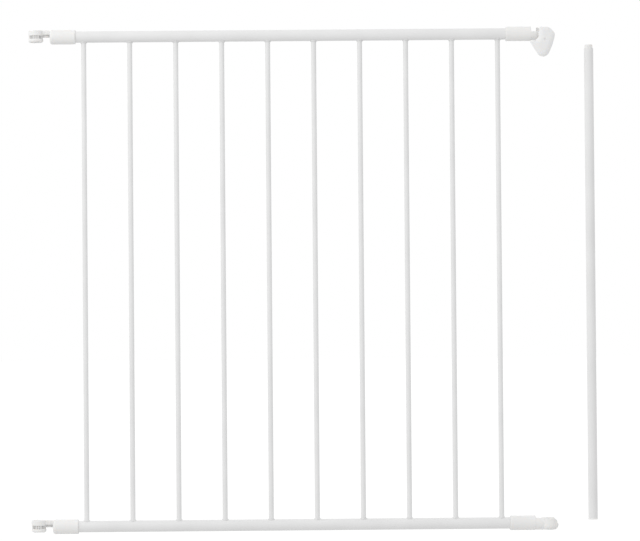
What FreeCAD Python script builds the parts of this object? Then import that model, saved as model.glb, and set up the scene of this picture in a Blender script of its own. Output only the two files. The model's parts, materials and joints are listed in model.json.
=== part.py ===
import FreeCAD, Part
import math
import os
import re
import Sketcher

# Extension section of a modular safety gate: a barred steel panel with a moulded fitting on each
# rail end, and the loose tube that closes the gap at the joint with the next section.
# Millimetres. The origin is the lower left hinge axis at the height of the bottom rail's centre.
# +X runs along the rails to the right, +Y to the back and +Z up.

DIMENSIONS = {
    # How far a piece runs into its neighbour, or a cut past the material, and a cut right through
    "overlap": 1.0,
    "through": 60.0,
    # Panel
    "rail_spacing": 691.0,
    "rail_radius": 8.0,
    "rail_wall": 1.2,
    "bar_radius": 3.5,
    "bar_count": 10,
    "bar_pitch": 65.0,
    "first_bar": 67.5,
    "hinge_pitch": 720.0,
    "bead_spread": 1.3,
    "bead_rise": 1.4,
    "bead_toe": 0.35,
    # Sleeves on the rail ends
    "sleeve_radius": 10.2,
    "sleeve_length": 36.0,
    "sleeve_start": 20.0,
    "sleeve_end_wall": 4.0,
    "rail_play": 0.05,
    "arm_end_round": 3.4,
    "edge_round": 0.9,
    # Screws at the back of the sleeves
    "screw_place": 38.0,
    "screw_radius": 1.45,
    "screw_head_radius": 2.9,
    "screw_head_depth": 1.3,
    "screw_head_bevel": 0.4,
    "screw_length": 6.0,
    "screw_slot_width": 0.8,
    "screw_slot_depth": 0.6,
    "screw_hole_radius": 1.6,
    "pilot_radius": 1.5,
    "counterbore_radius": 3.2,
    "counterbore_floor": 8.5,
    # Toothed hubs on the left
    "hub_radius": 10.4,
    "hub_root_radius": 7.0,
    "hub_bore_radius": 3.05,
    "hub_bottom": -7.4,
    "hub_top": 9.6,
    "hub_bottom_round": 2.4,
    "hub_top_bevel": 0.7,
    "ledge_top": -2.8,
    "flange_bottom": 2.2,
    "tooth_count": 24,
    "tooth_width": 1.1,
    "tooth_radius": 9.7,
    "neck_width": 7.6,
    "neck_web_width": 2.6,
    "neck_bottom": -0.5,
    "neck_plate_bottom": 3.0,
    "neck_top": 9.4,
    "neck_edge_round": 0.9,
    # Cups on the right
    "cup_radius": 12.4,
    "cup_bore_radius": 10.6,
    "cup_mouth_radius": 10.9,
    "cup_mouth_step": 0.3,
    "cup_floor": -7.6,
    "cup_bottom": -9.8,
    "cup_bottom_round": 6.6,
    "cup_bore_round": 2.6,
    "upper_cup_rim": 8.6,
    "lower_cup_rim": 6.8,
    "web_radius": 9.8,
    "web_length": 14.0,
    "web_overlap": 1.5,
    "upper_web_top": 2.8,
    "lower_web_top": 6.6,
    "notch_floor": -0.8,
    "notch_half_angle": 30.0,
    "upper_slope_start": 3.5,
    "upper_slope_end": 0.0,
    "lower_slope_start": 6.5,
    "lower_slope_end": 0.3,
    "relief_start_angle": 205.0,
    "relief_end_angle": 232.0,
    "relief_floor": 3.0,
    # Release lever in front of the upper cup
    "lever_back": 14.0,
    "lever_depth": 4.0,
    "lever_wall": 1.6,
    "lever_edge_round": 1.5,
    "lever_corner_round": 2.4,
    "pin_forward": 13.2,
    "pin_below": 10.4,
    "pin_radius": 1.5,
    "pin_length": 12.4,
    "pin_play": 0.05,
    "boss_radius": 2.4,
    "boss_width": 6.8,
    "lug_inside": 3.9,
    "lug_width": 2.3,
    "lug_nose": 2.2,
    "lug_nose_low": 1.6,
    "lug_nose_high": 1.2,
    "lug_chin": 0.4,
    "lug_foot": 6.0,
    "lug_foot_sink": 0.4,
    "lug_root": 10.0,
    "lug_root_low": 6.4,
    "nose_width": 6.0,
    "nose_bottom": -2.0,
    "nose_top": 1.2,
    "nose_reach": 9.9,
    "nose_tooth_reach": 8.8,
    "nose_tooth_width": 0.9,
    "window_width": 7.0,
    "window_bottom": -2.7,
    "window_top": 2.9,
    "dimple_left": 1.2,
    "dimple_below": 9.3,
    "dimple_radius": 1.7,
    "dimple_depth": 0.7,
    "tongue_width": 6.0,
    "tongue_front": 10.2,
    "tongue_thickness": 1.6,
    "tongue_bottom": -21.0,
    "tongue_top": -7.8,
    # Latch spring
    "latch_spring_radius": 2.1,
    "latch_wire_radius": 0.3,
    "latch_spring_length": 5.2,
    "latch_spring_pitch": 1.3,
    "latch_spring_below": 17.0,
    "spring_gap": 0.05,
    # Joint tube
    "tube_place": 781.5,
    "tube_foot_bottom": 4.0,
    "tube_length": 663.5,
    "tube_radius": 6.5,
    "tube_wall": 1.0,
    "foot_head": 2.0,
    "foot_bevel": 0.5,
    "foot_shank": 14.0,
    "shank_wall": 1.6,
    "shank_bevel": 0.8,
    "plug_play": 0.05,
    "plunger_play": 0.1,
    "plunger_show": 5.5,
    "plunger_length": 20.0,
    "plunger_wall": 1.0,
    "plunger_crown": 2.6,
    "plunger_round": 1.3,
    "seat_below_end": 46.0,
    "seat_thickness": 4.0,
    "tube_spring_radius": 3.7,
    "tube_wire_radius": 0.45,
    "tube_spring_pitch": 3.6,
}

# Corners of the lever's outline, seen from the front: across and up from the hinge axis and the
# rail's centre, anticlockwise from the top left. A third value is the radius of the arc that
# starts at that corner: the ear, the tip, the long right side, the shoulder and the slope above it.
LEVER_OUTLINE = [
    (-9.6, 8.4),
    (-10.4, -6.2),
    (-14.8, -10.6),
    (-20.4, -10.6, 1.8),
    (-21.9, -13.3),
    (-12.0, -29.2, 9.3),
    (4.2, -28.6, 100.0),
    (12.9, -3.6, 5.0),
    (12.0, 0.4, 31.0),
    (3.4, 8.2),
]
LEVER_SHARP_CORNERS = LEVER_OUTLINE[:3]

TINY = 1e-6
NEAR = 0.01
ALONG = 0.99
FULL_TURN = 360.0

doc = FreeCAD.newDocument("gate_section")
sheet = doc.addObject("Spreadsheet::Sheet", "dims")
for row, (alias, size) in enumerate(DIMENSIONS.items(), start=1):
    sheet.set("A%d" % row, alias)
    sheet.set("B%d" % row, str(size))
    sheet.setAlias("B%d" % row, alias)
doc.recompute()


def formula(text):
    """An expression in which every dimension's name points at the sheet."""
    def link(match):
        word = match.group(0)
        return "dims." + word if word in DIMENSIONS else word
    return re.sub(r"[a-z_]+", link, str(text))


def value(text):
    """The number that an expression has now."""
    result = sheet.evalExpression(formula(text))
    return float(getattr(result, "Value", result))


def bind(thing, prop, text):
    thing.setExpression(prop, formula(text))


def new_body(name):
    body = doc.addObject("PartDesign::Body", name)
    body.Label = name
    body.AllowCompound = True
    return body


def place(body, across="0", back="0", up="0"):
    bind(body, "Placement.Base.x", across)
    bind(body, "Placement.Base.y", back)
    bind(body, "Placement.Base.z", up)


def new_sketch(body, name, plane, offset):
    """A sketch on one of the body's own planes, moved along the plane's normal."""
    sketch = body.newObject("Sketcher::SketchObject", name)
    support = [item for item in body.Origin.OriginFeatures if item.Role == plane][0]
    sketch.AttachmentSupport = (support, [""])
    sketch.MapMode = "FlatFace"
    bind(sketch, "AttachmentOffset.Base.z", offset)
    return sketch


def hold(sketch, kind, geometry, point, text):
    """Bind one coordinate of a point of the sketch."""
    now = value(text)
    if abs(now) < TINY:
        axis = -2 if kind == "DistanceX" else -1
        sketch.addConstraint(Sketcher.Constraint("PointOnObject", geometry, point, axis))
        return
    index = sketch.addConstraint(Sketcher.Constraint(kind, -1, 1, geometry, point, now))
    bind(sketch, "Constraints[%d]" % index, text)


def hold_radius(sketch, geometry, text):
    index = sketch.addConstraint(Sketcher.Constraint("Radius", geometry, value(text)))
    bind(sketch, "Constraints[%d]" % index, text)


def arc_between(start, end, radius):
    """The anticlockwise arc of a radius from one point to the next."""
    chord = end - start
    middle = (start + end) * 0.5
    rise = math.sqrt(max(radius ** 2 - (chord.Length / 2) ** 2, 0))
    normal = FreeCAD.Vector(-chord.y, chord.x, 0).normalize()
    centre = middle + normal * rise
    first = math.atan2(start.y - centre.y, start.x - centre.x)
    last = math.atan2(end.y - centre.y, end.x - centre.x)
    circle = Part.Circle(centre, FreeCAD.Vector(0, 0, 1), radius)
    return Part.ArcOfCircle(circle, first, last)


def outline(body, name, plane, corners, offset="0"):
    """A closed outline. A corner with a third value starts an anticlockwise arc of that radius."""
    sketch = new_sketch(body, name, plane, offset)
    points = [FreeCAD.Vector(value(corner[0]), value(corner[1]), 0) for corner in corners]
    count = len(corners)
    for index, corner in enumerate(corners):
        start = points[index]
        end = points[(index + 1) % count]
        if len(corner) == 3:
            sketch.addGeometry(arc_between(start, end, value(corner[2])), False)
        else:
            sketch.addGeometry(Part.LineSegment(start, end), False)
    for index in range(count):
        after = (index + 1) % count
        sketch.addConstraint(Sketcher.Constraint("Coincident", index, 2, after, 1))
    for index, corner in enumerate(corners):
        hold(sketch, "DistanceX", index, 1, corner[0])
        hold(sketch, "DistanceY", index, 1, corner[1])
        if len(corner) == 3:
            hold_radius(sketch, index, corner[2])
    return sketch


def rectangle(body, name, plane, left, right, low, high, offset="0"):
    corners = [(left, low), (right, low), (right, high), (left, high)]
    return outline(body, name, plane, corners, offset)


def circles(body, name, plane, radii, across="0", up="0", offset="0"):
    """Concentric circles."""
    sketch = new_sketch(body, name, plane, offset)
    centre = FreeCAD.Vector(value(across), value(up), 0)
    for index, radius in enumerate(radii):
        circle = Part.Circle(centre, FreeCAD.Vector(0, 0, 1), value(radius))
        sketch.addGeometry(circle, False)
        hold(sketch, "DistanceX", index, 3, across)
        hold(sketch, "DistanceY", index, 3, up)
        hold_radius(sketch, index, radius)
    return sketch


def feature(body, kind, name, sketch):
    item = body.newObject("PartDesign::" + kind, name)
    item.Profile = sketch
    return item


def pad(body, name, sketch, length, both_ways=False):
    item = feature(body, "Pad", name, sketch)
    bind(item, "Length", length)
    if both_ways:
        item.SideType = "Symmetric"
    return item


def volume(body):
    doc.recompute()
    return body.Tip.Shape.Volume


def cut(body, name, sketch, length, reverse=False, both_ways=False):
    """A pocket that must take material away."""
    before = volume(body)
    item = feature(body, "Pocket", name, sketch)
    bind(item, "Length", length)
    item.Reversed = reverse
    if both_ways:
        item.SideType = "Symmetric"
    check_cut(body, name, before)
    return item


def check_cut(body, name, before):
    if volume(body) > before - TINY:
        raise RuntimeError("%s cuts nothing from %s" % (name, body.Label))


def turn(body, name, sketch):
    item = feature(body, "Revolution", name, sketch)
    item.ReferenceAxis = (sketch, ["V_Axis"])
    item.Angle = FULL_TURN
    return item


def turned_cut(body, name, sketch):
    before = volume(body)
    item = feature(body, "Groove", name, sketch)
    item.ReferenceAxis = (sketch, ["V_Axis"])
    item.Angle = FULL_TURN
    check_cut(body, name, before)
    return item


def polar(body, name, original, sketch, count):
    item = body.newObject("PartDesign::PolarPattern", name)
    item.Originals = [original]
    item.Axis = (sketch, ["N_Axis"])
    item.Angle = FULL_TURN
    bind(item, "Occurrences", count)
    body.Tip = item
    return item


def row_of(body, name, original, sketch, length, count):
    item = body.newObject("PartDesign::LinearPattern", name)
    item.Originals = [original]
    item.Direction = (sketch, ["H_Axis"])
    bind(item, "Length", length)
    bind(item, "Occurrences", count)
    body.Tip = item
    return item


def round_edges(body, name, radius, wanted):
    """Round the edges of the body's last feature for which wanted(edge) is true."""
    doc.recompute()
    base = body.Tip
    edges = enumerate(base.Shape.Edges, start=1)
    names = ["Edge%d" % number for number, edge in edges if wanted(edge)]
    if not names:
        raise RuntimeError("%s finds no edge" % name)
    item = body.newObject("PartDesign::Fillet", name)
    item.Base = (base, names)
    bind(item, "Radius", radius)
    return item


def ring_at(axis, position, radius):
    """A test for the circular edge of a radius at a place along an axis."""
    def wanted(edge):
        curve = edge.Curve
        if not isinstance(curve, Part.Circle):
            return False
        return abs(getattr(curve.Center, axis) - position) < NEAR and abs(curve.Radius - radius) < NEAR
    return wanted


# ---------------------------------------------------------------- panel

def make_rail(name, up):
    """A round tube with a pilot hole in its back for the screw of each sleeve."""
    body = new_body(name)
    rail_start = "sleeve_start + sleeve_end_wall + rail_play"
    ring = circles(body, name + "_section", "YZ_Plane", ["rail_radius", "rail_radius - rail_wall"],
                   offset=rail_start)
    pad(body, name + "_tube", ring, "hinge_pitch - 2 * (%s)" % rail_start)
    for side, across in (("left", "screw_place"), ("right", "hinge_pitch - screw_place")):
        hole = circles(body, "%s_%s_mark" % (name, side), "XZ_Plane", ["pilot_radius"], across)
        cut(body, "%s_%s_pilot" % (name, side), hole, "rail_radius + overlap")
    place(body, up=up)
    return body


def make_bar(number):
    """A round bar whose ends are coped to the rails."""
    name = "bar_%02d" % number
    body = new_body(name)
    section = circles(body, name + "_section", "XY_Plane", ["bar_radius"])
    pad(body, name + "_rod", section, "rail_spacing")
    for end, up in (("lower", "0"), ("upper", "rail_spacing")):
        cope = circles(body, "%s_%s_circle" % (name, end), "YZ_Plane", ["rail_radius"], "0", up)
        cut(body, "%s_%s_cope" % (name, end), cope, "through", both_ways=True)
    place(body, "first_bar + bar_pitch * %d" % (number - 1))
    return body


def make_weld_beads(name, side):
    """The fillet welds between the bars and one rail: side is 1 above the rail, -1 below it."""
    body = new_body(name)
    reach = "(rail_radius + bead_rise) * %d" % side
    foot = "(rail_radius - bead_rise) * %d" % side
    corners = [
        ("bar_radius", reach),
        ("bar_radius", foot),
        ("bar_radius + bead_spread", foot),
        ("bar_radius + bead_spread", "(rail_radius - bead_toe) * %d" % side),
    ]
    section = outline(body, name + "_section", "XZ_Plane", corners)
    bead = turn(body, name + "_ring", section)
    row_of(body, name + "_row", bead, section, "bar_pitch * (bar_count - 1)", "bar_count")
    saddle = circles(body, name + "_saddle", "YZ_Plane", ["rail_radius"])
    cut(body, name + "_cope", saddle, "2 * hinge_pitch", both_ways=True)
    place(body, "first_bar", up="0" if side > 0 else "rail_spacing")
    return body


def make_screws(name):
    """The four self-tapping screws that hold the sleeves, each with a slotted head at the back."""
    body = new_body(name)
    top = "counterbore_floor + screw_head_depth"
    corners = [
        ("0", "counterbore_floor - screw_length"),
        ("screw_radius", "counterbore_floor - screw_length + screw_radius"),
        ("screw_radius", "counterbore_floor"),
        ("screw_head_radius", "counterbore_floor"),
        ("screw_head_radius", top + " - screw_head_bevel"),
        ("screw_head_radius - screw_head_bevel", top),
        ("0", top),
    ]
    section = outline(body, name + "_section", "XZ_Plane", corners)
    screw = turn(body, name + "_screw", section)
    slot = rectangle(body, name + "_slot_mark", "XY_Plane", "-screw_head_radius - overlap",
                     "screw_head_radius + overlap", "-screw_slot_width / 2", "screw_slot_width / 2",
                     top)
    slot_cut = cut(body, name + "_slot", slot, "screw_slot_depth")
    grid = body.newObject("PartDesign::MultiTransform", name + "_set")
    grid.Originals = [screw, slot_cut]
    steps = []
    for direction, length in (("H_Axis", "hinge_pitch - 2 * screw_place"), ("V_Axis", "rail_spacing")):
        step = body.newObject("PartDesign::LinearPattern", name + "_along_" + direction)
        step.Direction = (slot, [direction])
        bind(step, "Length", length)
        step.Occurrences = 2
        steps.append(step)
    grid.Transformations = steps
    body.Tip = grid
    body.Placement.Rotation = FreeCAD.Rotation(FreeCAD.Vector(1, 0, 0), -90)
    place(body, "screw_place", up="rail_spacing")
    return body


# ---------------------------------------------------------------- fittings

def cut_screw_seat(body, across):
    """The screw's hole and its counterbore in the back of a sleeve."""
    name = body.Label
    hole = circles(body, name + "_screw_mark", "XZ_Plane", ["screw_hole_radius"], across)
    cut(body, name + "_screw_hole", hole, "sleeve_radius + overlap")
    seat = circles(body, name + "_seat_mark", "XZ_Plane", ["counterbore_radius"], across,
                   offset="-counterbore_floor")
    cut(body, name + "_screw_seat", seat, "sleeve_radius")


def make_hinge_arm(name, up):
    """Left fitting: a sleeve on the rail, a T-shaped neck and a toothed hub that drops into a cup."""
    body = new_body(name)
    start = value("sleeve_start")
    end = value("sleeve_start + sleeve_length")
    radius = value("sleeve_radius")
    section = circles(body, name + "_section", "YZ_Plane", ["sleeve_radius"], offset="sleeve_start")
    pad(body, name + "_sleeve", section, "sleeve_length")
    round_edges(body, name + "_nose", "arm_end_round", ring_at("x", start, radius))
    round_edges(body, name + "_rim", "edge_round", ring_at("x", end, radius))
    corners = [
        ("-neck_web_width / 2", "neck_bottom"),
        ("neck_web_width / 2", "neck_bottom"),
        ("neck_web_width / 2", "neck_plate_bottom"),
        ("neck_width / 2", "neck_plate_bottom"),
        ("neck_width / 2", "neck_top"),
        ("-neck_width / 2", "neck_top"),
        ("-neck_width / 2", "neck_plate_bottom"),
        ("-neck_web_width / 2", "neck_plate_bottom"),
    ]
    neck = outline(body, name + "_neck_section", "YZ_Plane", corners, "hub_root_radius - overlap")
    pad(body, name + "_neck", neck, "sleeve_start + sleeve_end_wall - hub_root_radius")
    side = value("neck_width / 2")

    def along_neck(edge):
        straight = isinstance(edge.Curve, Part.Line) and abs(edge.Curve.Direction.x) > ALONG
        return straight and abs(abs(edge.Vertexes[0].Point.y) - side) < NEAR

    round_edges(body, name + "_neck_edges", "neck_edge_round", along_neck)
    corners = [
        ("hub_bore_radius", "hub_bottom"),
        ("hub_radius - hub_bottom_round", "hub_bottom", "hub_bottom_round"),
        ("hub_radius", "hub_bottom + hub_bottom_round"),
        ("hub_radius", "ledge_top"),
        ("hub_root_radius", "ledge_top"),
        ("hub_root_radius", "flange_bottom"),
        ("hub_radius", "flange_bottom"),
        ("hub_radius", "hub_top - hub_top_bevel"),
        ("hub_radius - hub_top_bevel", "hub_top"),
        ("hub_bore_radius", "hub_top"),
    ]
    turn(body, name + "_hub", outline(body, name + "_hub_section", "XZ_Plane", corners))
    tooth_section = rectangle(body, name + "_tooth_section", "XY_Plane", "hub_root_radius - overlap",
                              "tooth_radius", "-tooth_width / 2", "tooth_width / 2", "ledge_top")
    tooth = pad(body, name + "_tooth", tooth_section, "flange_bottom - ledge_top")
    polar(body, name + "_teeth", tooth, tooth_section, "tooth_count")
    bore = circles(body, name + "_bore_mark", "YZ_Plane", ["rail_radius + rail_play"],
                   offset="sleeve_start + sleeve_length")
    cut(body, name + "_bore", bore, "sleeve_length - sleeve_end_wall")
    cut_screw_seat(body, "screw_place")
    place(body, up=up)
    return body


def add_cup(body, rim):
    """The cup's outside, without its hollow."""
    name = body.Label
    corners = [
        ("0", "cup_bottom"),
        ("cup_radius - cup_bottom_round", "cup_bottom", "cup_bottom_round"),
        ("cup_radius", "cup_bottom + cup_bottom_round"),
        ("cup_radius", rim),
        ("0", rim),
    ]
    turn(body, name + "_cup", outline(body, name + "_cup_section", "XZ_Plane", corners))


def hollow_cup(body, level):
    """The cup's hollow, the notch for the next section's neck and the slope down to it.

    The ring below the ledge's height seats the hub, and the mouth above it is a little wider.
    """
    name = body.Label
    rim = level + "_cup_rim"
    slope_start = level + "_slope_start"
    corners = [
        ("0", "cup_floor"),
        ("cup_bore_radius - cup_bore_round", "cup_floor", "cup_bore_round"),
        ("cup_bore_radius", "cup_floor + cup_bore_round"),
        ("cup_bore_radius", "ledge_top"),
        ("cup_mouth_radius", "ledge_top + cup_mouth_step"),
        ("cup_mouth_radius", rim + " + overlap"),
        ("0", rim + " + overlap"),
    ]
    hollow = outline(body, name + "_hollow_section", "XZ_Plane", corners)
    turned_cut(body, name + "_hollow", hollow)
    wedge = [("0", "0")]
    wedge += [("2 * cup_radius", "2 * cup_radius * tan(%s)" % angle)
              for angle in ("-notch_half_angle", "notch_half_angle")]
    notch = outline(body, name + "_notch_mark", "XY_Plane", wedge, rim + " + overlap")
    cut(body, name + "_notch", notch, rim + " + overlap - notch_floor")
    slope = [
        (slope_start, rim),
        ("cup_radius + overlap", level + "_slope_end"),
        ("cup_radius + overlap", rim + " + overlap"),
        (slope_start, rim + " + overlap"),
    ]
    slope_section = outline(body, name + "_slope_mark", "XZ_Plane", slope)
    cut(body, name + "_slope", slope_section, "through", both_ways=True)


def add_lever_lugs(body):
    """Two lugs for the lever's pin and a tongue that the latch spring stands on."""
    name = body.Label
    corners = [
        ("-pin_forward - lug_nose", "-pin_below - lug_nose_low"),
        ("-pin_forward - lug_chin", "-pin_below - boss_radius"),
        ("-pin_forward + boss_radius", "-pin_below - boss_radius"),
        ("-lug_foot", "cup_bottom + lug_foot_sink"),
        ("-lug_root", "-lug_root_low"),
        ("-pin_forward", "-pin_below + boss_radius"),
        ("-pin_forward - lug_nose", "-pin_below + lug_nose_high"),
    ]
    sides = (("right", "lug_inside"), ("left", "-lug_inside - lug_width"))
    for side, offset in sides:
        lug = outline(body, "%s_%s_lug_section" % (name, side), "YZ_Plane", corners, offset)
        pad(body, "%s_%s_lug" % (name, side), lug, "lug_width")
    eye = circles(body, name + "_eye_mark", "YZ_Plane", ["pin_radius"], "-pin_forward", "-pin_below")
    cut(body, name + "_eyes", eye, "through", both_ways=True)
    tongue = rectangle(body, name + "_tongue_section", "XZ_Plane", "-tongue_width / 2",
                       "tongue_width / 2", "tongue_bottom", "tongue_top",
                       "tongue_front - tongue_thickness")
    pad(body, name + "_tongue", tongue, "tongue_thickness")


def cut_lever_window(body, rim):
    """The window that the lever's nose reaches through, and the relief in the rim beside it."""
    name = body.Label
    window = rectangle(body, name + "_window_mark", "XZ_Plane", "-window_width / 2",
                       "window_width / 2", "window_bottom", "window_top")
    cut(body, name + "_window", window, "cup_radius + overlap", reverse=True)
    angles = ("relief_start_angle", "relief_end_angle")
    sector = [("0", "0")]
    sector += [("2 * cup_radius * cos(%s)" % angle, "2 * cup_radius * sin(%s)" % angle)
               for angle in angles]
    relief = outline(body, name + "_relief_mark", "XY_Plane", sector, rim + " + overlap")
    cut(body, name + "_relief", relief, rim + " + overlap - relief_floor")


def make_socket(name, up, level, has_lever):
    """Right fitting: a sleeve on the rail, a web and a cup for the next section's hub."""
    body = new_body(name)
    rim = level + "_cup_rim"
    start = value("-sleeve_start - sleeve_length")
    end = value("-sleeve_start")
    radius = value("sleeve_radius")
    section = circles(body, name + "_section", "YZ_Plane", ["sleeve_radius"],
                      offset="-sleeve_start - sleeve_length")
    pad(body, name + "_sleeve", section, "sleeve_length")
    round_edges(body, name + "_rim", "edge_round", ring_at("x", start, radius))
    round_edges(body, name + "_shoulder", "edge_round", ring_at("x", end, radius))
    web = circles(body, name + "_web_section", "YZ_Plane", ["web_radius"],
                  offset="-sleeve_start - web_overlap")
    pad(body, name + "_web", web, "web_length")
    gap = rectangle(body, name + "_gap_mark", "XZ_Plane", "-sleeve_start", "0", level + "_web_top",
                    "sleeve_radius + overlap")
    cut(body, name + "_gap", gap, "through", both_ways=True)
    add_cup(body, rim)
    if has_lever:
        add_lever_lugs(body)
    hollow_cup(body, level)
    if has_lever:
        cut_lever_window(body, rim)
    bore = circles(body, name + "_bore_mark", "YZ_Plane", ["rail_radius + rail_play"],
                   offset="-sleeve_start - sleeve_length")
    cut(body, name + "_bore", bore, "sleeve_length - sleeve_end_wall", reverse=True)
    cut_screw_seat(body, "-screw_place")
    place(body, "hinge_pitch", up=up)
    return body


# ---------------------------------------------------------------- release lever

def inset(corners, amount):
    """The outline's corners joined by straight lines, with every line moved inwards."""
    moved = []
    count = len(corners)
    for index in range(count):
        before = FreeCAD.Vector(*corners[index - 1][:2], 0)
        here = FreeCAD.Vector(*corners[index][:2], 0)
        after = FreeCAD.Vector(*corners[(index + 1) % count][:2], 0)
        arriving = (here - before).normalize()
        leaving = (after - here).normalize()
        bisector = FreeCAD.Vector(-arriving.y - leaving.y, arriving.x + leaving.x, 0).normalize()
        inward = FreeCAD.Vector(-arriving.y, arriving.x, 0)
        corner = here + bisector * (amount / bisector.dot(inward))
        moved.append((corner.x, corner.y))
    return moved


def make_lever(name):
    """A pick-shaped shell that rocks on its pin; its nose locks the hub in the cup."""
    body = new_body(name)
    face = "lever_back + lever_depth"
    shape = outline(body, name + "_outline", "XZ_Plane", LEVER_OUTLINE, "lever_back")
    pad(body, name + "_blank", shape, "lever_depth")
    front = -value(face)

    def sharp(edge):
        if not isinstance(edge.Curve, Part.Line) or abs(edge.Curve.Direction.y) < ALONG:
            return False
        here = edge.Vertexes[0].Point
        return any(math.hypot(here.x - x, here.z - up) < NEAR for x, up in LEVER_SHARP_CORNERS)

    def on_face(edge):
        return all(abs(vertex.Point.y - front) < NEAR for vertex in edge.Vertexes)

    round_edges(body, name + "_corners", "lever_corner_round", sharp)
    round_edges(body, name + "_edge", "lever_edge_round", on_face)
    inner = inset(LEVER_OUTLINE, value("lever_wall"))
    core = outline(body, name + "_core_mark", "XZ_Plane", inner, "lever_back")
    cut(body, name + "_core", core, "lever_depth - lever_wall", reverse=True)
    boss = circles(body, name + "_boss_section", "YZ_Plane", ["boss_radius"], "-pin_forward",
                   "-pin_below")
    pad(body, name + "_boss", boss, "boss_width", both_ways=True)
    rib = rectangle(body, name + "_rib_section", "YZ_Plane", "-(%s) + lever_wall / 2" % face,
                    "-pin_forward", "-pin_below - boss_radius", "-pin_below + boss_radius")
    pad(body, name + "_rib", rib, "boss_width", both_ways=True)
    eye = circles(body, name + "_eye_mark", "YZ_Plane", ["pin_radius + pin_play"], "-pin_forward",
                  "-pin_below")
    cut(body, name + "_eye", eye, "through", both_ways=True)
    nose = rectangle(body, name + "_nose_section", "XZ_Plane", "-nose_width / 2", "nose_width / 2",
                     "nose_bottom", "nose_top", "nose_reach")
    pad(body, name + "_nose", nose, face + " - lever_wall / 2 - nose_reach")
    tooth = rectangle(body, name + "_tooth_section", "XZ_Plane", "-nose_tooth_width / 2",
                      "nose_tooth_width / 2", "nose_bottom", "nose_top", "nose_tooth_reach")
    pad(body, name + "_tooth", tooth, "nose_reach - nose_tooth_reach + overlap")
    dimple = circles(body, name + "_dimple_mark", "XZ_Plane", ["dimple_radius"], "-dimple_left",
                     "-dimple_below", face)
    cut(body, name + "_dimple", dimple, "dimple_depth")
    place(body, "hinge_pitch", up="rail_spacing")
    return body


def make_lever_pin(name):
    body = new_body(name)
    section = circles(body, name + "_section", "YZ_Plane", ["pin_radius"])
    pad(body, name + "_rod", section, "pin_length", both_ways=True)
    place(body, "hinge_pitch", "-pin_forward", "rail_spacing - pin_below")
    return body


def make_spring(name, radius, wire, length, pitch):
    """A coil spring along the body's own +Z, from its first turn's centre."""
    body = new_body(name)
    section = circles(body, name + "_section", "XZ_Plane", [wire], radius)
    coil = feature(body, "AdditiveHelix", name + "_coil", section)
    coil.ReferenceAxis = (section, ["V_Axis"])
    coil.Mode = "pitch-height-angle"
    bind(coil, "Pitch", pitch)
    bind(coil, "Height", length)
    return body


def make_latch_spring(name):
    body = make_spring(name, "latch_spring_radius", "latch_wire_radius", "latch_spring_length",
                       "latch_spring_pitch")
    body.Placement.Rotation = FreeCAD.Rotation(FreeCAD.Vector(1, 0, 0), 90)
    place(body, "hinge_pitch", "-tongue_front - latch_wire_radius - spring_gap",
          "rail_spacing - latch_spring_below")
    return body


# ---------------------------------------------------------------- joint tube

TUBE_TOP = "tube_foot_bottom + foot_head + tube_length"
PLUNGER_BOTTOM = TUBE_TOP + " + plunger_show - plunger_length"
SEAT_TOP = TUBE_TOP + " - seat_below_end"


def make_joint_tube(name):
    body = new_body(name)
    ring = circles(body, name + "_section", "XY_Plane", ["tube_radius", "tube_radius - tube_wall"],
                   offset="tube_foot_bottom + foot_head")
    pad(body, name + "_wall", ring, "tube_length")
    place(body, "tube_place")
    return body


def make_tube_foot(name):
    """A plug with a head as wide as the tube and a hollow shank inside it."""
    body = new_body(name)
    shank = "tube_radius - tube_wall - plug_play"
    head_top = "tube_foot_bottom + foot_head"
    corners = [
        ("0", "tube_foot_bottom"),
        ("tube_radius - foot_bevel", "tube_foot_bottom"),
        ("tube_radius", "tube_foot_bottom + foot_bevel"),
        ("tube_radius", head_top),
        (shank, head_top),
        (shank, head_top + " + foot_shank - shank_bevel"),
        (shank + " - shank_bevel", head_top + " + foot_shank"),
        (shank + " - shank_wall", head_top + " + foot_shank"),
        (shank + " - shank_wall", head_top),
        ("0", head_top),
    ]
    turn(body, name + "_plug", outline(body, name + "_section", "XZ_Plane", corners))
    place(body, "tube_place")
    return body


def make_spring_seat(name):
    body = new_body(name)
    section = circles(body, name + "_section", "XY_Plane", ["tube_radius - tube_wall - plug_play"],
                      offset=SEAT_TOP + " - seat_thickness")
    pad(body, name + "_disc", section, "seat_thickness")
    place(body, "tube_place")
    return body


def make_plunger(name):
    """The sprung end of the tube: a cap that slides in the tube over its spring."""
    body = new_body(name)
    radius = "tube_radius - tube_wall - plunger_play"
    top = TUBE_TOP + " + plunger_show"
    roof = top + " - plunger_crown"
    corners = [
        (radius + " - plunger_wall", PLUNGER_BOTTOM),
        (radius, PLUNGER_BOTTOM),
        (radius, top + " - plunger_round", "plunger_round"),
        (radius + " - plunger_round", top),
        ("0", top),
        ("0", roof),
        (radius + " - plunger_wall", roof),
    ]
    turn(body, name + "_cap", outline(body, name + "_section", "XZ_Plane", corners))
    place(body, "tube_place")
    return body


def make_tube_spring(name):
    roof = TUBE_TOP + " + plunger_show - plunger_crown"
    foot = SEAT_TOP + " + tube_wire_radius + spring_gap"
    length = "%s - tube_wire_radius - spring_gap - (%s)" % (roof, foot)
    body = make_spring(name, "tube_spring_radius", "tube_wire_radius", length, "tube_spring_pitch")
    place(body, "tube_place", up=foot)
    return body


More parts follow.
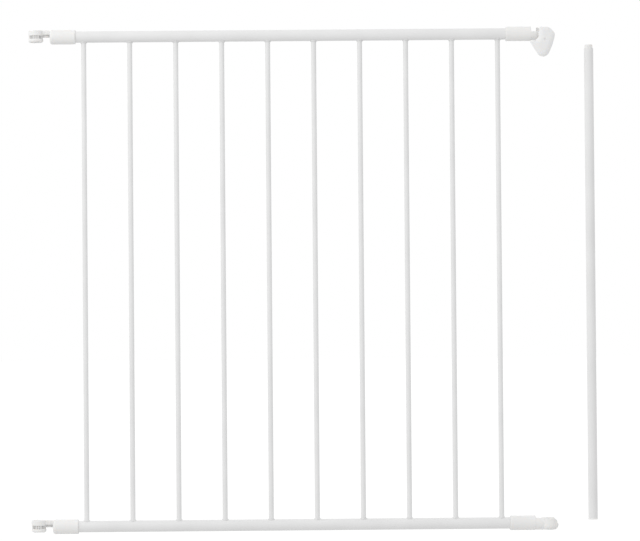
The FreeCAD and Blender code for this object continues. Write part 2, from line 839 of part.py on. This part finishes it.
def make_all():
    parts = [make_rail("bottom_rail", "0"), make_rail("top_rail", "rail_spacing")]
    parts += [make_bar(number) for number in range(1, int(value("bar_count")) + 1)]
    parts += [make_weld_beads("lower_weld_beads", 1), make_weld_beads("upper_weld_beads", -1)]
    parts += [make_hinge_arm("lower_left_hinge_arm", "0")]
    parts += [make_hinge_arm("upper_left_hinge_arm", "rail_spacing")]
    parts += [make_socket("lower_right_socket", "0", "lower", False)]
    parts += [make_socket("upper_right_socket", "rail_spacing", "upper", True)]
    parts += [make_screws("sleeve_screws"), make_lever("release_lever")]
    parts += [make_lever_pin("lever_pin"), make_latch_spring("latch_spring")]
    parts += [make_joint_tube("joint_tube"), make_tube_foot("tube_foot")]
    parts += [make_spring_seat("spring_seat"), make_tube_spring("tube_spring")]
    parts += [make_plunger("tube_end_plunger")]
    return parts


def check(parts):
    """Stop if any object failed or any sub-part has no good shape."""
    doc.recompute()
    for item in doc.Objects:
        if "Invalid" in item.State or "Error" in item.State:
            raise RuntimeError("%s is in state %s" % (item.Name, item.State))
    for part in parts:
        if part.Shape.isNull() or not part.Shape.isValid():
            raise RuntimeError("%s has no good shape" % part.Label)


PARTS = make_all()
check(PARTS)
os.makedirs("parts", exist_ok=True)
for part in PARTS:
    part.Shape.exportStep("parts/%s.step" % part.Label)
    box = part.Shape.BoundBox
    print("%-22s %2d solids  x %7.2f %7.2f  y %6.2f %6.2f  z %7.2f %7.2f" % (
        part.Label, len(part.Shape.Solids), box.XMin, box.XMax, box.YMin, box.YMax,
        box.ZMin, box.ZMax))
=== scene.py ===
"""Looks of a safety gate's extension section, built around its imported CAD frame. Metres."""
import json
import math
import random

import bmesh
import bpy
from mathutils import Euler, Matrix, Vector
from mathutils.bvhtree import BVHTree
from mathutils.kdtree import KDTree


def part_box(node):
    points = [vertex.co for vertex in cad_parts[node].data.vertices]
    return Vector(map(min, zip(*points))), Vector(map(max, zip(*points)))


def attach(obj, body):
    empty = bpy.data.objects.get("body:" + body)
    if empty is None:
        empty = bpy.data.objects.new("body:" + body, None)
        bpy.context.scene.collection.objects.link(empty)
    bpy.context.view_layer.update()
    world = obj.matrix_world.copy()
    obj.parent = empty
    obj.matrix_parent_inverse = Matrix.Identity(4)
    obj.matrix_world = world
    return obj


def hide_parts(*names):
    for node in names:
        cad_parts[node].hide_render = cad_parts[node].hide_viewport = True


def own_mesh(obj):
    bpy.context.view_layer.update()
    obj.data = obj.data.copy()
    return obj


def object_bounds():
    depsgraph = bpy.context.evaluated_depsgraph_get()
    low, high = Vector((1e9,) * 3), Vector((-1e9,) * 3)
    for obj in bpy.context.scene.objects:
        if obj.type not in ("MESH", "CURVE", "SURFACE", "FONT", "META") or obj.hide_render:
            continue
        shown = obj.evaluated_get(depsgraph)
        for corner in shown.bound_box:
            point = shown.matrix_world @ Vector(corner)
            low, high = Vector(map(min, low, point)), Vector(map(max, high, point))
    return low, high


MM = 0.001

# Fittings and lever: the voxels of their rounded copies, and how far off a wall still shades them; that
# shade is painted into their colour through a vertex attribute
FITTINGS = ("lower_left_hinge_arm", "upper_left_hinge_arm", "lower_right_socket", "upper_right_socket")
FITTING_VOXEL = 0.45 * MM
FITTING_SHADE_REACH = 9 * MM
LEVER_VOXEL = 0.3 * MM
LEVER_SHADE_REACH = 6 * MM
# painted shade: the name of the vertex attribute that darkens the plastics' colour where they are occluded
PAINTED_SHADE = "painted_shade"
SHADE_DIRECTIONS = 24

# The crown of the lever's face: how deep it goes, how wide it rolls off, and what is left at the rim
CROWN_DEPTH = 4 * MM
CROWN_ROLL = 7.5 * MM
CROWN_AT_RIM = 0.3

# Weld beads: radius, how far each bead's core stands off its bar and its rail, and the ripples
BEAD_SEED = 7
BEAD_RADIUS = 0.95 * MM
BEAD_OFF_BAR = 0.25 * MM
BEAD_OFF_RAIL = 0.2 * MM
BEAD_RIPPLES = (22, 23, 24, 25)
BEAD_RIPPLE_SHARE = 0.07
BEAD_UNEVEN_SHARE = 0.1
BEAD_STEPS = 56
BEAD_SPOKES = 10

# The studio
FLOOR_SIDE = 60.0
FLOOR_DROP = 0.025
BRIGHT_SIDE = (-0.75, -0.12, 0.62)
SKY_LEVEL = 1.06
SKY_SLOPE = 0.20
KEY_OFFSET = (-0.9, -1.0, 0.95)
KEY_SIDE = 0.8
KEY_POWER = 3.2
CAMERA_PLACE = (0.3637, -4.5, 0.2729)
CAMERA_LENS = 179.27
CAMERA_UP = 1.087
CAMERA_PAN = -0.449
CAMERA_ROLL = 0.475

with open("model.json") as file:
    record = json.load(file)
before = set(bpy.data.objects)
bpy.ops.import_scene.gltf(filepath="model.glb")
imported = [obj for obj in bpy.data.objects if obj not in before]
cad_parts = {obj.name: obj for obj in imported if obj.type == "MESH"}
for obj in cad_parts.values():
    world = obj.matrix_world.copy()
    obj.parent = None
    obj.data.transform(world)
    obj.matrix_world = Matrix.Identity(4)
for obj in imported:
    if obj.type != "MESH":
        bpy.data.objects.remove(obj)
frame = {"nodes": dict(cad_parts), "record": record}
nodes = frame["nodes"]
cad_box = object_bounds()
scene = bpy.context.scene


# ---------------------------------------------------------------- materials

class Shader:
    """A Principled material and short ways to add the nodes that feed it."""

    def __init__(self, name):
        self.material = bpy.data.materials.new(name)
        self.material.use_nodes = True
        self.tree = self.material.node_tree
        self.surface = self.tree.nodes["Principled BSDF"]
        self.place = self.add("ShaderNodeTexCoord").outputs["Object"]

    def add(self, kind, **values):
        """A new node with these settings."""
        node = self.tree.nodes.new(kind)
        for key, value in values.items():
            setattr(node, key, value)
        return node

    def link(self, source, target):
        self.tree.links.new(source, target)

    def feed(self, socket, value):
        """Links a socket, or gives it a plain value."""
        if isinstance(value, bpy.types.NodeSocket):
            self.link(value, socket)
        else:
            socket.default_value = value

    def set(self, name, value):
        """Links or sets one of the surface's own sockets."""
        self.feed(self.surface.inputs[name], value)

    def stretched(self, scale):
        """Object coordinates, stretched by a factor along each axis."""
        node = self.add("ShaderNodeMapping")
        self.link(self.place, node.inputs["Vector"])
        node.inputs["Scale"].default_value = scale
        return node.outputs["Vector"]

    def noise(self, size, detail=2.0, roughness=0.5, place=None):
        """Noise whose features have about this size."""
        node = self.add("ShaderNodeTexNoise")
        self.link(place or self.place, node.inputs["Vector"])
        node.inputs["Scale"].default_value = 1 / size
        node.inputs["Detail"].default_value = detail
        node.inputs["Roughness"].default_value = roughness
        return node.outputs["Fac"]

    def attribute(self, name):
        """A value that a mesh carries on its vertices, 0 on a mesh without it."""
        return self.add("ShaderNodeAttribute", attribute_name=name).outputs["Fac"]

    def cells(self, size):
        """The distance to the nearest of many points, about this size apart."""
        node = self.add("ShaderNodeTexVoronoi")
        self.link(self.place, node.inputs["Vector"])
        node.inputs["Scale"].default_value = 1 / size
        return node.outputs["Distance"]

    def spread(self, value, low, high, start=0.3, end=0.7):
        """Maps start..end of a value to low..high."""
        node = self.add("ShaderNodeMapRange")
        self.link(value, node.inputs["Value"])
        node.inputs["From Min"].default_value = start
        node.inputs["From Max"].default_value = end
        node.inputs["To Min"].default_value = low
        node.inputs["To Max"].default_value = high
        return node.outputs["Result"]

    def mix(self, factor, first, second):
        """A colour from first, at factor 0, to second, at factor 1."""
        node = self.add("ShaderNodeMix", data_type="RGBA")
        self.feed(node.inputs["Factor"], factor)
        self.feed(node.inputs["A"], first)
        self.feed(node.inputs["B"], second)
        return node.outputs["Result"]

    def sum(self, first, second, share):
        """first + second * share."""
        node = self.add("ShaderNodeMath", operation="MULTIPLY_ADD")
        self.link(second, node.inputs[0])
        node.inputs[1].default_value = share
        self.feed(node.inputs[2], first)
        return node.outputs["Value"]

    def bump(self, height, depth):
        """Relief of this depth from a height from 0 to 1."""
        node = self.add("ShaderNodeBump")
        node.inputs["Strength"].default_value = 1.0
        node.inputs["Distance"].default_value = depth
        self.link(height, node.inputs["Height"])
        self.link(node.outputs["Normal"], self.surface.inputs["Normal"])


def grey(level, warmth=0.0):
    """A grey of this level, redder and less blue by a share of it."""
    return (level * (1 + warmth), level, level * (1 - 2 * warmth), 1.0)


def powder_coat():
    """White polyester powder on steel: a satin skin with orange peel and a faint mottle."""
    shader = Shader("white_powder_coat")
    cloud = shader.noise(45 * MM, detail=3)
    peel = shader.noise(1.7 * MM, detail=1.5)
    speck = shader.spread(shader.cells(11 * MM), 1, 0, 0.03, 0.045)
    base = shader.mix(shader.spread(cloud, 0, 1), grey(0.80), grey(0.84))
    shader.set("Base Color", shader.mix(shader.sum(0.0, speck, 0.35), base, grey(0.70, 0.01)))
    shader.set("Roughness", shader.spread(shader.sum(cloud, peel, 0.5), 0.36, 0.48, 0.4, 1.0))
    shader.set("IOR", 1.5)
    shader.set("Coat Weight", 0.25)
    shader.set("Coat Roughness", 0.22)
    fine = shader.noise(0.5 * MM, detail=1)
    shader.bump(shader.sum(peel, fine, 0.15), 0.06 * MM)
    return shader.material


def moulded_plastic(name, level, grain, warmth):
    """Injection-moulded plastic: spark-eroded grain, faint flow marks, and painted shade in its creases
    and recesses.
    """
    shader = Shader(name)
    flow = shader.noise(30 * MM, detail=3, place=shader.stretched((0.35, 1, 1)))
    texture = shader.noise(grain, detail=2, roughness=0.6)
    base = shader.mix(shader.spread(flow, 0, 1), grey(level - 0.02, warmth), grey(level + 0.02, warmth))
    # painted shade: the base colour goes darker where the vertex attribute says the surface is occluded,
    # broken up a little by the grain
    painted_shade = shader.spread(shader.sum(shader.attribute(PAINTED_SHADE), texture, 0.1), 0, 1, 0.1, 0.75)
    shader.set("Base Color", shader.mix(painted_shade, base, grey(level - 0.36, 0.01)))
    shader.set("Roughness", shader.spread(shader.sum(texture, flow, 0.6), 0.40, 0.55, 0.5, 1.1))
    shader.set("IOR", 1.48)
    shader.set("Subsurface Weight", 0.12)
    shader.set("Subsurface Radius", (1.8 * MM, 1.6 * MM, 1.4 * MM))
    shader.set("Subsurface Scale", 1.0)
    shader.bump(texture, 0.03 * MM)
    return shader.material


def metal(name, level, roughness, stretch):
    """Plated or drawn steel with fine lines along the way that it was worked."""
    shader = Shader(name)
    lines = shader.noise(0.8 * MM, detail=3, place=shader.stretched(stretch))
    stain = shader.noise(4 * MM, detail=3)
    shader.set("Base Color", shader.mix(shader.spread(stain, 0, 1), grey(level, 0.01), grey(level + 0.1)))
    shader.set("Metallic", 1.0)
    shader.set("Roughness", shader.spread(shader.sum(lines, stain, 0.5), roughness - 0.07,
                                          roughness + 0.1, 0.45, 1.0))
    shader.bump(lines, 0.01 * MM)
    return shader.material


MATERIALS = {
    "white_powder_coat": powder_coat(),
    "white_plastic": moulded_plastic("white_plastic", 0.88, 0.4 * MM, 0.006),
    "lever_plastic": moulded_plastic("lever_plastic", 0.89, 0.5 * MM, 0.0),
    "plated_steel": metal("plated_steel", 0.55, 0.3, (1, 8, 1)),
    "spring_wire": metal("spring_wire", 0.45, 0.25, (1, 1, 1)),
}


def finish_nodes():
    """Every CAD node takes the finish of its material slot in the record."""
    for part in frame["record"]["subparts"]:
        mesh = nodes[part["node"]].data
        mesh.materials.clear()
        mesh.materials.append(MATERIALS[part["material_slot"]])


# ---------------------------------------------------------------- pieces

def add_piece(name, mesh, body, slot, replaced):
    """A new piece on a body, in the finish of a material slot, in place of a CAD node."""
    piece = bpy.data.objects.new(name, mesh)
    scene.collection.objects.link(piece)
    mesh.materials.clear()
    mesh.materials.append(MATERIALS[slot])
    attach(piece, body)
    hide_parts(replaced)
    return piece


def shade_smooth(mesh):
    for face in mesh.polygons:
        face.use_smooth = True


def evaluated_mesh(data, name, change=None):
    """The mesh that a mesh or curve comes to, after change has put modifiers on its object."""
    rough = bpy.data.objects.new(name + "_work", data)
    scene.collection.objects.link(rough)
    if change:
        change(rough.modifiers)
    mesh = bpy.data.meshes.new_from_object(rough.evaluated_get(bpy.context.evaluated_depsgraph_get()))
    bpy.data.objects.remove(rough)
    shade_smooth(mesh)
    return mesh


def skin_tree(mesh):
    """A tree of a mesh's faces, for casting rays at."""
    corners = [vertex.co for vertex in mesh.vertices]
    return BVHTree.FromPolygons(corners, [tuple(face.vertices) for face in mesh.polygons])


def rounded_copy(node, voxel, passes):
    """A copy of a CAD node's mesh with every edge and corner slightly rounded, as moulded."""
    mesh = nodes[node].data.copy()
    work = bmesh.new()
    work.from_mesh(mesh)
    bmesh.ops.remove_doubles(work, verts=work.verts, dist=0.001 * MM)
    work.to_mesh(mesh)
    work.free()

    def change(modifiers):
        skin = modifiers.new("skin", "REMESH")
        skin.mode = "VOXEL"
        skin.voxel_size = voxel
        soften = modifiers.new("soften", "SMOOTH")
        soften.factor = 0.5
        soften.iterations = passes

    return evaluated_mesh(mesh, node, change)


def spread_directions(count):
    """Directions spread evenly over a ball."""
    golden = math.pi * (3 - math.sqrt(5))
    result = []
    for step in range(count):
        up = 1 - 2 * (step + 0.5) / count
        flat = math.sqrt(1 - up * up)
        result.append(Vector((flat * math.cos(golden * step), flat * math.sin(golden * step), up)))
    return result


def paint_occlusion_shade(mesh, reach):
    """Marks how hidden each vertex is, as painted shade for the colour: the share of directions blocked
    within reach.
    """
    skin = skin_tree(mesh)
    directions = spread_directions(SHADE_DIRECTIONS)
    lift = 0.1 * MM
    least_facing = 0.1
    hidden = []
    for vertex in mesh.vertices:
        start = vertex.co + vertex.normal * lift
        weight = 0.0
        blocked = 0.0
        for direction in directions:
            facing = direction.dot(vertex.normal)
            if facing > least_facing:
                weight += facing
                if skin.ray_cast(start, direction, reach)[0] is not None:
                    blocked += facing
        hidden.append(blocked / weight)
    mesh.attributes.new(PAINTED_SHADE, "FLOAT", "POINT").data.foreach_set("value", hidden)


def make_fittings():
    """The four moulded fittings on the rails' ends, with painted shade in their hollows."""
    for node in FITTINGS:
        mesh = rounded_copy(node, FITTING_VOXEL, 3)
        # painted shade: how occluded each vertex is, for darkening the colour
        paint_occlusion_shade(mesh, FITTING_SHADE_REACH)
        add_piece(node + "_moulding", mesh, "panel", "white_plastic", node)


def outer_wall(node, middle, nearest):
    """Points all round a flat piece's outer wall at the middle's depth, no nearer to it than nearest."""
    skin = skin_tree(nodes[node].data)
    count = 720
    off_the_corners = 0.37
    reach = 50 * MM
    found = KDTree(count)
    for step in range(count):
        turn = math.tau * (step + off_the_corners) / count
        out = Vector((math.cos(turn), 0, math.sin(turn)))
        hit = skin.ray_cast(middle + out * reach, -out, reach - nearest)[0]
        if hit is not None:
            found.insert(hit, step)
    found.balance()
    return found


def make_lever():
    """The release lever: the CAD shell with its face crowned, so that it rolls off to its rim."""
    pin_low, pin_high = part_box("lever_pin")
    pin = (pin_low + pin_high) / 2
    crown_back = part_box("release_lever")[0].y + CROWN_DEPTH
    wall_level = crown_back - 1.3 * MM
    middle = Vector((pin.x, wall_level, pin.z + 2 * MM))
    rim = outer_wall("release_lever", middle, 8 * MM)
    mesh = rounded_copy("release_lever", LEVER_VOXEL, 2)
    for vertex in mesh.vertices:
        depth = crown_back - vertex.co.y
        if depth > 0:
            inward = min(rim.find((vertex.co.x, wall_level, vertex.co.z))[2] / CROWN_ROLL, 1)
            crown = inward * (2 - inward)
            vertex.co.y = crown_back - depth * (CROWN_AT_RIM + (1 - CROWN_AT_RIM) * crown)
    mesh.update()
    # painted shade: how occluded each vertex of the lever is, for darkening its colour
    paint_occlusion_shade(mesh, LEVER_SHADE_REACH)
    add_piece("release_lever_shell", mesh, "release_lever", "lever_plastic", "release_lever")


def add_bead(work, bar, rail_z, rail_radius, side, draw):
    """One fillet weld: a rippled ring round a bar, in the saddle that the bar makes with its rail."""
    low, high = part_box(bar)
    bar_x = (low.x + high.x) / 2
    bar_radius = (high.x - low.x) / 2
    phase = draw.uniform(0, math.tau)
    ripples = draw.choice(BEAD_RIPPLES)
    rings = []
    for step in range(BEAD_STEPS):
        turn = math.tau * step / BEAD_STEPS
        swell = (1 + BEAD_RIPPLE_SHARE * math.sin(ripples * turn + phase)
                 + BEAD_UNEVEN_SHARE * math.sin(turn + phase))
        out = Vector((math.cos(turn), math.sin(turn), 0))
        foot = bar_radius * out.y
        height = math.sqrt(rail_radius ** 2 - foot ** 2)
        up = Vector((0, foot, height)).normalized()
        core = out * (bar_radius + BEAD_OFF_BAR) + Vector((0, 0, height)) + up * BEAD_OFF_RAIL
        ring = []
        for spoke in range(BEAD_SPOKES):
            angle = math.tau * spoke / BEAD_SPOKES
            spot = core + (out * math.cos(angle) + up * math.sin(angle)) * (BEAD_RADIUS * swell)
            ring.append(work.verts.new((bar_x + spot.x, spot.y, rail_z + side * spot.z)))
        rings.append(ring)
    for step in range(BEAD_STEPS):
        here = rings[step]
        after = rings[(step + 1) % BEAD_STEPS]
        for spoke in range(BEAD_SPOKES):
            beside = (spoke + 1) % BEAD_SPOKES
            work.faces.new((here[spoke], after[spoke], after[beside], here[beside]))


def make_weld_beads():
    """The two rows of welds, on top of the bottom rail and under the top rail."""
    draw = random.Random(BEAD_SEED)
    bars = sorted(name for name in nodes if name.startswith("bar_"))
    for node, rail, side in (("lower_weld_beads", "bottom_rail", 1), ("upper_weld_beads", "top_rail", -1)):
        low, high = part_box(rail)
        work = bmesh.new()
        for bar in bars:
            add_bead(work, bar, (low.z + high.z) / 2, (high.z - low.z) / 2, side, draw)
        bmesh.ops.recalc_face_normals(work, faces=work.faces)
        mesh = bpy.data.meshes.new(node + "_rippled")
        work.to_mesh(mesh)
        work.free()
        shade_smooth(mesh)
        add_piece(node + "_rippled", mesh, "panel", "white_powder_coat", node)


def coil(name, start, along, radius, wire_radius, length, turns):
    """A compression spring with closed ends, as a mesh: it stands on start and runs along an axis."""
    first = along.orthogonal().normalized()
    second = along.cross(first)
    closed = 0.9
    total = turns + 2 * closed
    steps = int(24 * total)
    closed_pitch = wire_radius / closed
    open_rise = length - 4 * wire_radius
    curve = bpy.data.curves.new(name, "CURVE")
    curve.dimensions = "3D"
    curve.bevel_depth = wire_radius
    curve.bevel_resolution = 3
    curve.use_fill_caps = True
    line = curve.splines.new("POLY")
    line.points.add(steps)
    for step in range(steps + 1):
        turned = total * step / steps
        open_share = min(max((turned - closed) / turns, 0), 1)
        closed_turns = min(turned, closed) + max(turned - closed - turns, 0)
        height = wire_radius + open_rise * open_share + closed_pitch * closed_turns
        angle = math.tau * turned
        spot = start + along * height + (first * math.cos(angle) + second * math.sin(angle)) * radius
        line.points[step].co = (*spot, 1)
    return evaluated_mesh(curve, name)


def make_latch_spring():
    """The spring behind the lever, from the upper socket's tongue to the lever's inside."""
    low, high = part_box("latch_spring")
    past_ends = 0.05 * MM
    start = Vector(((low.x + high.x) / 2, high.y + past_ends, (low.z + high.z) / 2))
    length = high.y - low.y + 2 * past_ends
    mesh = coil("latch_spring_coil", start, Vector((0, -1, 0)), 2.1 * MM, 0.3 * MM, length, 3)
    piece = add_piece("latch_spring_coil", mesh, "panel", "spring_wire", "latch_spring")
    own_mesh(piece)


def make_tube_spring():
    """The spring inside the joint tube, from its seat up into the plunger."""
    low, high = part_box("tube_spring")
    seat_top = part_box("spring_seat")[1].z
    start = Vector(((low.x + high.x) / 2, 0, seat_top))
    length = high.z - seat_top
    mesh = coil("tube_spring_coil", start, Vector((0, 0, 1)), 3.7 * MM, 0.45 * MM, length, 11)
    piece = add_piece("tube_spring_coil", mesh, "joint_tube", "spring_wire", "tube_spring")
    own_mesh(piece)


# ---------------------------------------------------------------- studio

def make_stage():
    """A pale floor a little below the object, which throws no light back at it."""
    reach = FLOOR_SIDE / 2
    level = cad_box[0].z - FLOOR_DROP
    corners = [(x * reach, y * reach, level) for x, y in ((-1, -1), (1, -1), (1, 1), (-1, 1))]
    mesh = bpy.data.meshes.new("floor")
    mesh.from_pydata(corners, [], [(0, 1, 2, 3)])
    floor = bpy.data.objects.new("floor", mesh)
    scene.collection.objects.link(floor)
    floor.visible_diffuse = False
    floor.visible_glossy = False
    material = bpy.data.materials.new("pale_floor")
    material.use_nodes = True
    tree = material.node_tree
    tree.nodes.clear()
    output = tree.nodes.new("ShaderNodeOutputMaterial")
    both = tree.nodes.new("ShaderNodeAddShader")
    glow = tree.nodes.new("ShaderNodeEmission")
    glow.inputs["Color"].default_value = grey(0.9)
    matte = tree.nodes.new("ShaderNodeBsdfDiffuse")
    matte.inputs["Color"].default_value = grey(0.15)
    tree.links.new(glow.outputs[0], both.inputs[0])
    tree.links.new(matte.outputs[0], both.inputs[1])
    tree.links.new(both.outputs[0], output.inputs["Surface"])
    mesh.materials.append(material)


def make_world():
    """White to the camera; as a light it is brightest from the upper left and dims across the sky."""
    world = bpy.data.worlds.new("studio")
    scene.world = world
    world.use_nodes = True
    tree = world.node_tree
    tree.nodes.clear()
    add = tree.nodes.new
    link = tree.links.new
    direction = add("ShaderNodeTexCoord")
    facing = add("ShaderNodeVectorMath")
    facing.operation = "DOT_PRODUCT"
    facing.inputs[1].default_value = Vector(BRIGHT_SIDE).normalized()
    level = add("ShaderNodeMapRange")
    level.inputs["From Min"].default_value = -1.0
    level.inputs["From Max"].default_value = 1.0
    level.inputs["To Min"].default_value = SKY_LEVEL - SKY_SLOPE
    level.inputs["To Max"].default_value = SKY_LEVEL + SKY_SLOPE
    light = add("ShaderNodeBackground")
    white = add("ShaderNodeBackground")
    white.inputs["Color"].default_value = grey(1.0)
    path = add("ShaderNodeLightPath")
    both = add("ShaderNodeMixShader")
    output = add("ShaderNodeOutputWorld")
    link(direction.outputs["Generated"], facing.inputs[0])
    link(facing.outputs["Value"], level.inputs["Value"])
    link(level.outputs["Result"], light.inputs["Strength"])
    link(path.outputs["Is Camera Ray"], both.inputs[0])
    link(light.outputs[0], both.inputs[1])
    link(white.outputs[0], both.inputs[2])
    link(both.outputs[0], output.inputs["Surface"])


def make_key_light():
    """One soft square lamp in front, to the left and above, turned to the object's middle."""
    offset = Vector(KEY_OFFSET)
    data = bpy.data.lights.new("key", "AREA")
    data.shape = "SQUARE"
    data.size = KEY_SIDE
    data.energy = KEY_POWER
    light = bpy.data.objects.new("key", data)
    scene.collection.objects.link(light)
    light.location = (cad_box[0] + cad_box[1]) / 2 + offset
    light.rotation_euler = (-offset).to_track_quat("-Z", "Y").to_euler()
    light.visible_camera = False


def make_camera():
    """Almost straight in front, from far away, turned a little about its own axis."""
    data = bpy.data.cameras.new("camera")
    data.sensor_width = 36.0
    data.lens = CAMERA_LENS
    camera = bpy.data.objects.new("camera", data)
    scene.collection.objects.link(camera)
    aim = Euler((math.radians(90 + CAMERA_UP), 0, math.radians(CAMERA_PAN))).to_matrix().to_4x4()
    roll = Matrix.Rotation(-math.radians(CAMERA_ROLL), 4, "Z")
    camera.matrix_world = Matrix.Translation(CAMERA_PLACE) @ aim @ roll
    scene.camera = camera


finish_nodes()
make_fittings()
make_lever()
make_weld_beads()
make_latch_spring()
make_tube_spring()
make_stage()
make_world()
make_key_light()
make_camera()
scene.view_settings.view_transform = "Standard"
